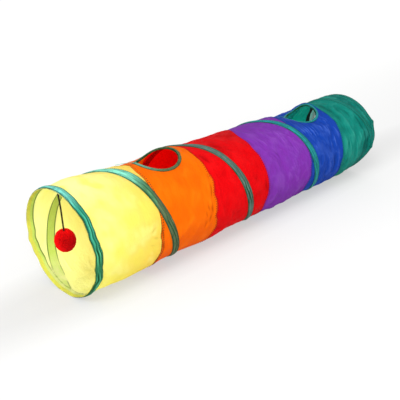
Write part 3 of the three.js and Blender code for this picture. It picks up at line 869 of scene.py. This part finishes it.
def stitching_piece(name, lines, turns, slot, material, **look):
    """Rows of stitches along several lines round the tube, as one piece."""
    points, faces = np.zeros((0, 3)), []
    for x in lines:
        more, joined = stitch_row(x, turns, **look)
        faces += shifted(joined, len(points))
        points = np.concatenate([points, more])
    piece = new_piece(name, points, faces, material)


def tape_stitching(tape, turns, span, material):
    left, right = span(turns)
    lines = left + TAPE_STITCH_INSET, right - TAPE_STITCH_INSET
    stitching_piece(tape + "_stitching", lines, turns, "green_tape", material, **TAPE_STITCHES)


def seam_stitching(number):
    offsets, thick, shade = SEAM_ROWS[number - 1]
    turns = np.arange(0, 360.5, 1.0)
    lines = [edge_at(number, turns) + off for off in offsets]
    sunk = SEAM_STITCH_SUNK * swell(turn_between(turns, 0), SEAM_STITCH_CROWN)
    look = {"height": SEAM_STITCH_HEIGHT - sunk, "gap": SEAM_STITCH_GAP, "thick": thick}
    name = f"seam_{number}_stitching"
    stitching_piece(name, lines, turns, PANELS[number - 1]["slot"], thread_material(name, shade), **look)


# Peep holes
def hole_binding_piece(name, material):
    """The folded tape round a hole: a leg on each face of the cloth and a rolled edge between them."""
    hole = HOLES[name]
    leg, web, under = (size / MM for size in (HOLE_WEB + HOLE_LEG, HOLE_WEB, -CLOTH_THICKNESS))
    # From the upper leg's edge over the roll to the lower leg, and back between the legs along the cloth
    edge = [(leg, 0.4), (leg - 0.4, 1.2)]
    below = [(outside, under - height) for outside, height in (edge + HOLE_ROLL)[::-1]]
    back = [(leg, under - 0.2), (web, under - 0.2), (web - 0.4, under / 2), (web, 0.2), (leg, 0.2)]
    section = np.array(edge + [(leg - 1.2, 1.4)] + HOLE_ROLL + [(-0.5, under / 2)] + below + back)
    outside, height = MM * section.T
    direction = np.arange(HOLE_STATIONS)[:, None] * 360.0 / HOLE_STATIONS
    gathers = HOLE_GATHER * np.sin(direction * math.radians(HOLE_GATHERS)) * (outside > 0.002)
    x, angle = round_hole(hole, direction, outside)
    points = tube_points(x, angle, tube_radius(x, angle) + height + gathers * np.sign(height), CLOTH_FLOOR)
    tail_points, tail_faces = binding_tail(hole)
    faces = [face[::-1] for face in loft(points, True)]
    count = points.shape[0] * points.shape[1]
    faces += shifted(tail_faces, count)
    every = np.concatenate([points.reshape(-1, 3), tail_points])
    piece = new_piece(hole["binding"] + "_tape", every, faces, material, sharp=60)
    # The inner leg is darker: painted shade
    across, along, lit = (
        np.broadcast_to(values, points.shape[:2]).ravel() for values in (
            section[:, 0] / leg - 0.5,
            np.radians(direction) * hole["along"],
            np.where(section[:, 1] < under / 2, INNER_LEG_PAINTED_SHADE, 1.0),
        )
    )
    tail = np.zeros(len(tail_points))
    across, along, lit = (np.concatenate(pair) for pair in ((across, tail), (along, tail), (lit, tail + 1)))
    dress_tape(piece, hole["binding"], across, along, tape_tone(every) * lit[:, None], np.zeros(len(every)))


def binding_tail(hole):
    """The end of the binding's tape, which runs on past the hole and lies on the cloth."""
    (x0, angle0), (x1, angle1) = hole["tail"]
    share = np.linspace(0, 1, TAIL_STATIONS)[:, None]
    across = np.linspace(-0.5, 0.5, TAIL_ACROSS)
    line = np.array((x1 - x0, math.radians(angle1 - angle0) * TUBE_RADIUS))
    aside = np.array((-line[1], line[0])) / np.linalg.norm(line) * TAIL_WIDTH
    x = x0 + share * line[0] + across * aside[0]
    angle = angle0 + share * (angle1 - angle0) + np.degrees(across * aside[1] / TUBE_RADIUS)
    lift = TAIL_SEAT + TAIL_ARCH * np.sin(math.pi * share) + TAIL_RISE * share ** 2
    lift = lift + tube_radius(x, angle)
    top = tube_points(x, angle, lift + TAIL_THICKNESS, CLOTH_FLOOR)
    bottom = tube_points(x, angle, lift, CLOTH_FLOOR)
    sections = np.concatenate([top, bottom[:, ::-1]], axis=1)
    return sections.reshape(-1, 3), loft(sections, False)


# The toy
def cord_piece(material):
    curve = bpy.data.curves.new("pompom_cord_elastic", "CURVE")
    curve.dimensions = "3D"
    curve.bevel_depth = CORD_DIAMETER / 2
    curve.bevel_resolution = 4
    curve.use_fill_caps = True
    spline = curve.splines.new("POLY")
    spline.points.add(len(CORD_ROUTE) - 1)
    for point, place in zip(spline.points, CORD_ROUTE):
        point.co = (*place, 1.0)
    curve.materials.append(material)
    piece = new_object("pompom_cord_elastic", curve)
    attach(piece, "root")
    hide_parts("pompom_cord")
    return piece


def sphere_directions(count):
    """Directions spread evenly over a ball."""
    number = np.arange(count) + 0.5
    height = 1 - 2 * number / count
    turn = number * math.pi * (3 - math.sqrt(5))
    flat = np.sqrt(1 - height ** 2)
    return np.stack([flat * np.cos(turn), flat * np.sin(turn), height], axis=-1)


def lumpy_ball(radius):
    """The dense pile between the fibres' tips: a closed ball, uneven all over."""
    polar = np.linspace(0.02, math.pi - 0.02, BALL_RINGS)[:, None]
    turn = np.arange(BALL_SIDES) * 2 * math.pi / BALL_SIDES
    out = [np.sin(polar) * np.cos(turn), np.sin(polar) * np.sin(turn), np.cos(polar) + 0 * turn]
    out = np.stack(out, axis=-1)
    lumps = np.array([smooth_noise.noise(Vector(place) * 5) for place in out.reshape(-1, 3)])
    points = out * radius * (1 + POMPOM_LUMPS * lumps.reshape(BALL_RINGS, BALL_SIDES, 1))
    points[..., 2] *= POMPOM_STRETCH
    return points.reshape(-1, 3), [face[::-1] for face in loft(points[::-1], False)]


def pompom_piece(material):
    """A ball of cut pile: tapered three-sided fibres on a dense core."""
    rng = np.random.default_rng(POMPOM_SEED)
    lowest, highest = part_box("pompom")
    centre = np.array((lowest + highest) / 2)
    out = sphere_directions(POMPOM_FIBRES)
    out = unit(out + rng.normal(0, FIBRE_STRAY, out.shape))
    away = unit(np.cross(out, rng.normal(0, 1, out.shape)))
    lean = away * rng.normal(0, FIBRE_LEAN, (POMPOM_FIBRES, 1))
    reach = POMPOM_PILE * (1 + rng.uniform(*FIBRE_UNEVEN, (POMPOM_FIBRES, 1)))
    reach = reach - FIBRE_SHORTER * swell_in(out[:, 2:], *BESIDE_CORD)
    root = out * POMPOM_ROOT
    middle = 0.45 * root + out * 0.55 * reach + 0.35 * lean
    tip = out * reach + lean
    sides = np.arange(3)[:, None] * 2 * math.pi / 3
    ring = np.cos(sides) * away[:, None] + np.sin(sides) * np.cross(out, away)[:, None]
    levels = [place[:, None] + ring * thick for place, thick in zip((root, middle, tip), FIBRE_THICKNESS)]
    points = np.stack(levels, axis=1)
    points[..., 2] *= POMPOM_STRETCH
    fibre = loft(points[0], False)
    faces = [face for number in range(POMPOM_FIBRES) for face in shifted(fibre, 9 * number)]
    ball, ball_faces = lumpy_ball(POMPOM_BALL)
    faces += shifted(ball_faces, 9 * POMPOM_FIBRES)
    every = np.concatenate([points.reshape(-1, 3), ball]) + centre
    piece = new_piece("pompom_pile", every, faces, material, sharp=80)
    # Painted shade: each fibre darker towards its root, the tips darker on the side away from the light, and
    # the core ball wholly in the painted shade
    painted_side_shade = swell_in(out @ np.array(POMPOM_SHADED_SIDE), *SHADED_SIDE_FROM)
    tips = (1 - SHADED_SIDE_DARKENING * painted_side_shade)[:, None] * np.repeat((0.0, 0.5, 1.0), 3)
    set_values(piece, "tip", np.concatenate([tips.ravel(), np.zeros(len(ball))]))
    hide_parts("pompom")
    return piece


# Materials: the tints of the outer cloth, what each follows, where it starts and is full, and its share
# Most tints paint light and shade: painted light on the yellow crown and painted shade on the red, purple
# and blue crowns, painted shade at the rim, painted highlights on the ridges of the waves and crumples, and
# painted shade in their hollows and troughs
OUTER_TINTS = [
    ("high", "Z", 0.22, 0.25, 0.9), ("far", "X", -0.46, -0.33, 0.8), ("rim", "from_rim", 0.07, 0.01, 0.75),
    ("painted_highlight", "slack", 0.05, 0.6, 0.35), ("deep", "slack", -0.05, -0.6, 0.6),
    ("painted_highlight", "relief", 0.2, 1.2, 0.8), ("trough", "relief", -0.3, -1.5, 0.7),
]
# The painted shade in a seam's fold, as a share of the deeper colour
SEAM_PAINTED_SHADE = 0.3
WEAVE_PITCH = 0.0007
THREAD_DEEP = 0.6
THREAD_GRAIN = 300.0
THREAD_ROUGHNESS = 0.7


def new_material(name):
    """A material, its tree of nodes and the place on the object for them to follow."""
    material = bpy.data.materials.new(name)
    material.use_nodes = True
    tree = material.node_tree
    tree.nodes.clear()
    return material, tree, node(tree, "ShaderNodeTexCoord").outputs["Object"]


def put(tree, socket, value):
    """Links a node's output to a socket, or sets a number, a vector or a colour on it."""
    if isinstance(value, bpy.types.NodeSocket):
        tree.links.new(value, socket)
    else:
        socket.default_value = (*value, 1.0) if socket.type == "RGBA" else value


def node(tree, kind, **values):
    """A new node with values put on its sockets or its own settings."""
    made = tree.nodes.new(kind)
    for name, value in values.items():
        label = name.replace("_", " ")
        if label in made.inputs:
            put(tree, made.inputs[label], value)
        else:
            setattr(made, name, value)
    return made


def cloth_uv(tree):
    return node(tree, "ShaderNodeUVMap", uv_map="cloth").outputs["UV"]


def axes(tree, vector):
    return node(tree, "ShaderNodeSeparateXYZ", Vector=vector).outputs


def attribute(tree, name, output="Fac"):
    return node(tree, "ShaderNodeAttribute", attribute_name=name).outputs[output]


def noise(tree, vector, scale, detail=3.0, roughness=0.55):
    made = node(tree, "ShaderNodeTexNoise", Vector=vector, Scale=scale, Detail=detail, Roughness=roughness)
    return made.outputs["Fac"]


def mapped(tree, vector, scale):
    return node(tree, "ShaderNodeMapping", Vector=vector, Scale=scale).outputs["Vector"]


def ranged(tree, value, low, high, to_low=0.0, to_high=1.0):
    limits = {"From_Min": low, "From_Max": high, "To_Min": to_low, "To_Max": to_high}
    return node(tree, "ShaderNodeMapRange", Value=value, **limits).outputs["Result"]


def mixed(tree, share, first, second, blend="MIX"):
    """A colour between two, each a plain colour or another node's output."""
    made = node(tree, "ShaderNodeMix", data_type="RGBA", blend_type=blend, Factor=share)
    put(tree, made.inputs[6], first)
    put(tree, made.inputs[7], second)
    return made.outputs[2]


def maths(tree, operation, first, second=0.0):
    made = node(tree, "ShaderNodeMath", operation=operation)
    put(tree, made.inputs[0], first)
    put(tree, made.inputs[1], second)
    return made.outputs[0]


def times(tree, first, second):
    return maths(tree, "MULTIPLY", first, second)


def threads(tree, uv, scale, direction):
    """One set of parallel threads or ribs."""
    made = node(tree, "ShaderNodeTexWave", Vector=uv, Scale=scale, bands_direction=direction)
    return made.outputs["Fac"]


def bump(tree, height, strength, distance, **before):
    made = node(tree, "ShaderNodeBump", Height=height, Strength=strength, Distance=distance, **before)
    return made.outputs["Normal"]


def scaled(colour, share):
    return tuple(share * value for value in colour)


def principled(tree, colour, normal, roughness, specular):
    return node(
        tree, "ShaderNodeBsdfPrincipled",
        Base_Color=colour, Normal=normal, Roughness=roughness, Specular_IOR_Level=specular,
    )


def finish(tree, shader):
    node(tree, "ShaderNodeOutputMaterial", Surface=shader.outputs[0])


def finish_cloth(tree, colour, normal, through, roughness, specular):
    """A surface that reflects part of the light and lets the rest glow through."""
    surface = principled(tree, colour, normal, roughness, specular)
    glow = node(tree, "ShaderNodeBsdfTranslucent", Color=colour, Normal=normal)
    both = node(tree, "ShaderNodeMixShader", Fac=through)
    put(tree, both.inputs[1], surface.outputs[0])
    put(tree, both.inputs[2], glow.outputs[0])
    finish(tree, both)


def cloth_normal(tree, place):
    """Fine crinkles over a plain weave from two crossing sets of threads."""
    crinkle = noise(tree, mapped(tree, place, (90.0, 60.0, 60.0)), 1.0, 6.0, 0.62)
    uv = cloth_uv(tree)
    weave = maths(tree, "MAXIMUM", *(threads(tree, uv, math.pi / 10 / WEAVE_PITCH, way) for way in "XY"))
    return bump(tree, weave, 0.25, 0.00012, Normal=bump(tree, crinkle, 0.8, 0.003))


def cloth_material(panel):
    """The outer face of thin crumpled nylon: painted shade low down, beside a seam and in hollows, a deeper
    colour in random patches, and painted highlights on ridges.
    """
    material, tree, place = new_material(panel["slot"])
    where = axes(tree, place)
    # Darker low down, where less light falls: painted shade; the patches are a random drift
    low = ranged(tree, where["Z"], 0.16, 0.01)
    mottle = ranged(tree, noise(tree, place, 22.0), 0.35, 0.7)
    depth = maths(tree, "ADD", times(tree, low, 0.6), times(tree, mottle, 0.4))
    shade = mixed(tree, depth, panel["colour"], panel["deep"])
    # The tints: painted light and shade on the crown, at the rim, on ridges, in hollows and in troughs
    colours = {**panel, "trough": scaled(panel["deep"], panel["trough"])}
    for key, source, start, full, share in OUTER_TINTS:
        if key in colours:
            value = where[source] if source in where else attribute(tree, source)
            shade = mixed(tree, ranged(tree, value, start, full, 0.0, share), shade, colours[key])
    # Painted shade in the fold beside a seam, broken up by noise
    beside = ranged(tree, attribute(tree, "seam_edge"), 0.0004, 0.0018)
    broken = ranged(tree, noise(tree, place, 55.0), 0.35, 0.65, 0.1, 0.8)
    seam = times(tree, maths(tree, "SUBTRACT", 1.0, beside), broken)
    shade = mixed(tree, seam, shade, scaled(panel["deep"], SEAM_PAINTED_SHADE))
    finish_cloth(tree, shade, cloth_normal(tree, place), panel["through"], 0.55, 0.04)
    return material


def inner_material(panel):
    """The inner face, painted brighter than the outer for the light that comes through, where the tapes
    outside show through as painted strips of the light and shadow they let through, with painted shade at
    their edges; low down the strips fade in patches, painted light from the floor.
    """
    material, tree, place = new_material(panel["slot"] + "_inner")
    # Low down the strips fade, in patches, painting the light from the floor
    patchy = ranged(tree, noise(tree, place, 60.0), 0.4, 0.6)
    raised_off = ranged(tree, axes(tree, place)["Z"], 0.012, 0.05)
    clear = maths(tree, "MAXIMUM", raised_off, times(tree, patchy, 0.6))
    away = attribute(tree, "tape_edge")
    from_rim = attribute(tree, "from_rim")
    # The inner colour is painted brighter than the outer for the light that comes through, and on the yellow
    # painted lighter still deep inside, where little light reaches
    inside = panel["inside"]
    if "depth" in panel:
        inside = mixed(tree, ranged(tree, from_rim, 0.03, 0.1), inside, panel["depth"])
    # A painted strip of the light and shadow that a tape outside lets through, and painted shade at its
    # edges
    strip = times(tree, ranged(tree, away, 0.0004, -0.0008), clear)
    shade = mixed(tree, strip, inside, panel["strip"])
    line = ranged(tree, maths(tree, "ABSOLUTE", away), 0.002, 0.0006, 0.0, 0.85)
    shade = mixed(tree, times(tree, line, clear), shade, panel["line"])
    # Painted bands of light and shadow inside a rim, where a tape outside shows through
    for start, end, colour in panel.get("bands", ()):
        middle, half = (start + end) / 2, (end - start) / 2
        off = maths(tree, "ABSOLUTE", maths(tree, "SUBTRACT", from_rim, middle))
        shade = mixed(tree, ranged(tree, off, half + 0.0008, half - 0.0008), shade, colour)
    finish_cloth(tree, shade, cloth_normal(tree, place), INNER_THROUGH, 0.6, 0.1)
    return material


def tape_material(name):
    """Ribbed green tape in its own tone, streaked along it, with painted highlights on the ridges of its
    gathers, painted shade in their hollows and at its edges, and random dark marks.
    """
    material, tree, place = new_material(name)
    uv = cloth_uv(tree)
    along = axes(tree, place)["X"]
    plain = ranged(tree, along, 0.34, 0.38, 1.0, 0.2)
    streak = ranged(tree, noise(tree, mapped(tree, uv, (9.0, 26.0, 1.0)), 1.0), 0.35, 0.65, 0.58, 1.34)
    shade = mixed(tree, plain, attribute(tree, "tone", "Color"), streak, "MULTIPLY")
    # Painted highlight on the ridges of the mouth's gathers
    relief = attribute(tree, "relief")
    painted_highlight = times(tree, ranged(tree, relief, 0.3, 1.0, 0.0, 0.65), ranged(tree, along, -0.47, -0.49))
    shade = mixed(tree, painted_highlight, shade, TAPE_PAINTED_HIGHLIGHT)
    # Painted shade in the hollows between gathers
    painted_groove_shade = ranged(tree, relief, -0.15, -0.8, 0.0, 0.92)
    # Painted shade along the edges, and random dark marks, both in the one dark colour
    across = maths(tree, "ABSOLUTE", axes(tree, uv)["X"])
    uneven = ranged(tree, noise(tree, place, 40.0), 0.35, 0.6, 0.45, 1.0)
    edge = times(tree, ranged(tree, across, 0.36, 0.45), uneven)
    patchy = ranged(tree, noise(tree, place, 110.0), 0.5, 0.75, 0.0, 0.4)
    marks = times(tree, maths(tree, "MAXIMUM", edge, patchy), plain)
    shade = mixed(tree, maths(tree, "MAXIMUM", marks, painted_groove_shade), shade, TAPE_PAINTED_SHADE_AND_WEAR)
    ribs = bump(tree, threads(tree, uv, 5.0, "X"), 0.3, 0.0004)
    normal = bump(tree, noise(tree, place, 420.0), 0.2, 0.0002, Normal=ribs)
    finish_cloth(tree, shade, normal, 0.3, 0.5, 0.06)
    return material


def pile_material(name):
    """Cut pile: bright at the tips of its tufts, with painted shade deep red between them, towards the roots
    and on the side away from the light.
    """
    material, tree, place = new_material(name)
    tuft = ranged(tree, noise(tree, place, 190.0), 0.35, 0.62, 0.7, 1.0)
    share = times(tree, attribute(tree, "tip"), tuft)
    finish_plain(tree, mixed(tree, share, POMPOM_PAINTED_SHADE, POMPOM_COLOUR), place, 900.0, 0.9)
    return material


def plain_material(name, colour, deep, grain, roughness):
    """Yarn or thread: one colour that drifts a little, with a fine grain."""
    material, tree, place = new_material(name)
    shade = mixed(tree, ranged(tree, noise(tree, place, grain), 0.35, 0.7), colour, deep)
    finish_plain(tree, shade, place, grain * 4, roughness)
    return material


def thread_material(name, colour):
    return plain_material(name, colour, scaled(colour, THREAD_DEEP), THREAD_GRAIN, THREAD_ROUGHNESS)


def finish_plain(tree, shade, place, grain, roughness):
    normal = bump(tree, noise(tree, place, grain), 0.2, 0.0003)
    finish(tree, principled(tree, shade, normal, roughness, 0.1))


# The object
panels = [
    panel_piece(number, cloth_material(panel), inner_material(panel))
    for number, panel in enumerate(PANELS)
]

green_tape = tape_material("green_tape")
green_thread = thread_material("green_thread", THREAD_COLOUR)

ring_turns = np.arange(0, 360, TAPE_STEP)
spiral_turns = np.arange(WIRE_START, WIRE_END + TAPE_STEP / 2, TAPE_STEP)
whole_turn = np.arange(0, 360 + TAPE_STEP / 2, TAPE_STEP)
for tape, turns, span, closed in (
    ("mouth_binding", ring_turns, mouth_span, True),
    ("spiral_binding", spiral_turns, spiral_span, False),
    ("end_binding", ring_turns, end_span, True),
):
    tape_piece(tape, turns, *span(turns), closed, green_tape)
    tape_stitching(tape, whole_turn if closed else turns, span, green_thread)
for name in HOLES:
    hole_binding_piece(name, green_tape)
for number in range(1, len(PANELS)):
    seam_stitching(number)

pompom = pompom_piece(pile_material("red_pompom"))
cord = cord_piece(plain_material("dark_elastic", CORD_COLOUR, CORD_WORN, 900.0, 0.7))

# Floor, light and camera
WHITE = (1.0, 1.0, 1.0)
FLOOR_HALF = 14.0
FLOOR_COLOUR = (0.22, 0.22, 0.218)
# The floor's own light at three distances from the tunnel, dimmer near it as a painted shadow, and the share
# of X in the distance
FLOOR_GLOW_PAINTED_SHADOW = [(0.07, 0.46), (0.15, 0.59), (1.6, 0.8)]
FLOOR_ALONG = 0.1
WORLD_STRENGTH = 1.1
KEY = {"place": (-3.9, -1.8, 5.2), "size": 2.8, "power": 285.0}
FILL = {"place": (-1.8, -2.3, 1.0), "size": 2.4, "power": 86.0}
AIM = (0.0, 0.0, 0.12)

CAMERA_PLACE = (-0.92135, -0.91082, 0.67212)
CAMERA_AZIMUTH = -41.5526
CAMERA_ELEVATION = 25.6063
CAMERA_ROLL = -1.6253
CAMERA_LENS = 45.78
CAMERA_SENSOR = 36.0
CAMERA_REACH = 60.0


def floor_material():
    """A pale matt sweep that glows as a light table does, so shadows stay soft; its glow is dimmer near the
    tunnel, a painted shadow round it, and brighter far off.
    """
    material, tree, place = new_material("pale_floor")
    place = mapped(tree, place, (FLOOR_ALONG, 1.0, 1.0))
    away = node(tree, "ShaderNodeVectorMath", operation="LENGTH", Vector=place).outputs["Value"]
    (start, near), (beside, pale), (end, far) = FLOOR_GLOW_PAINTED_SHADOW
    # The glow rises away from the tunnel: a painted shadow close to it that fades far off
    painted_shadow_near = ranged(tree, away, start, beside, near, pale)
    painted_shadow_far = ranged(tree, away, beside, end, 0.0, far - pale)
    surface = node(
        tree, "ShaderNodeBsdfPrincipled", Base_Color=FLOOR_COLOUR, Roughness=0.9, Specular_IOR_Level=0.0,
        Emission_Color=WHITE, Emission_Strength=maths(tree, "ADD", painted_shadow_near, painted_shadow_far),
    )
    finish(tree, surface)
    return material


def make_floor():
    corners = [(FLOOR_HALF * x, FLOOR_HALF * y, 0) for x, y in ((-1, -1), (1, -1), (1, 1), (-1, 1))]
    mesh = bpy.data.meshes.new("floor")
    mesh.from_pydata(corners, [], [(0, 1, 2, 3)])
    mesh.materials.append(floor_material())
    floor = new_object("floor", mesh)


def make_light(name, place, size, power):
    lamp = bpy.data.lights.new(name, "AREA")
    lamp.shape = "DISK"
    lamp.size = size
    lamp.energy = power
    made = new_object(name, lamp)
    made.location = place
    made.rotation_euler = (Vector(AIM) - Vector(place)).to_track_quat("-Z", "Y").to_euler()


def make_world():
    world = bpy.data.worlds.new("studio")
    world.use_nodes = True
    background = world.node_tree.nodes["Background"]
    background.inputs["Color"].default_value = (*WHITE, 1.0)
    background.inputs["Strength"].default_value = WORLD_STRENGTH
    bpy.context.scene.world = world


def make_camera():
    lens = bpy.data.cameras.new("camera")
    lens.lens = CAMERA_LENS
    lens.sensor_width = CAMERA_SENSOR
    lens.clip_end = CAMERA_REACH
    camera = new_object("camera", lens)
    turns = ((CAMERA_AZIMUTH, "Z"), (90 - CAMERA_ELEVATION, "X"), (CAMERA_ROLL, "Z"))
    azimuth, tilt, roll = (Matrix.Rotation(math.radians(angle), 4, axis) for angle, axis in turns)
    camera.matrix_world = Matrix.Translation(CAMERA_PLACE) @ azimuth @ tilt @ roll
    bpy.context.scene.camera = camera


make_floor()
make_world()
make_light("key", **KEY)
make_light("fill", **FILL)
make_camera()
bpy.context.scene.view_settings.view_transform = "Standard"
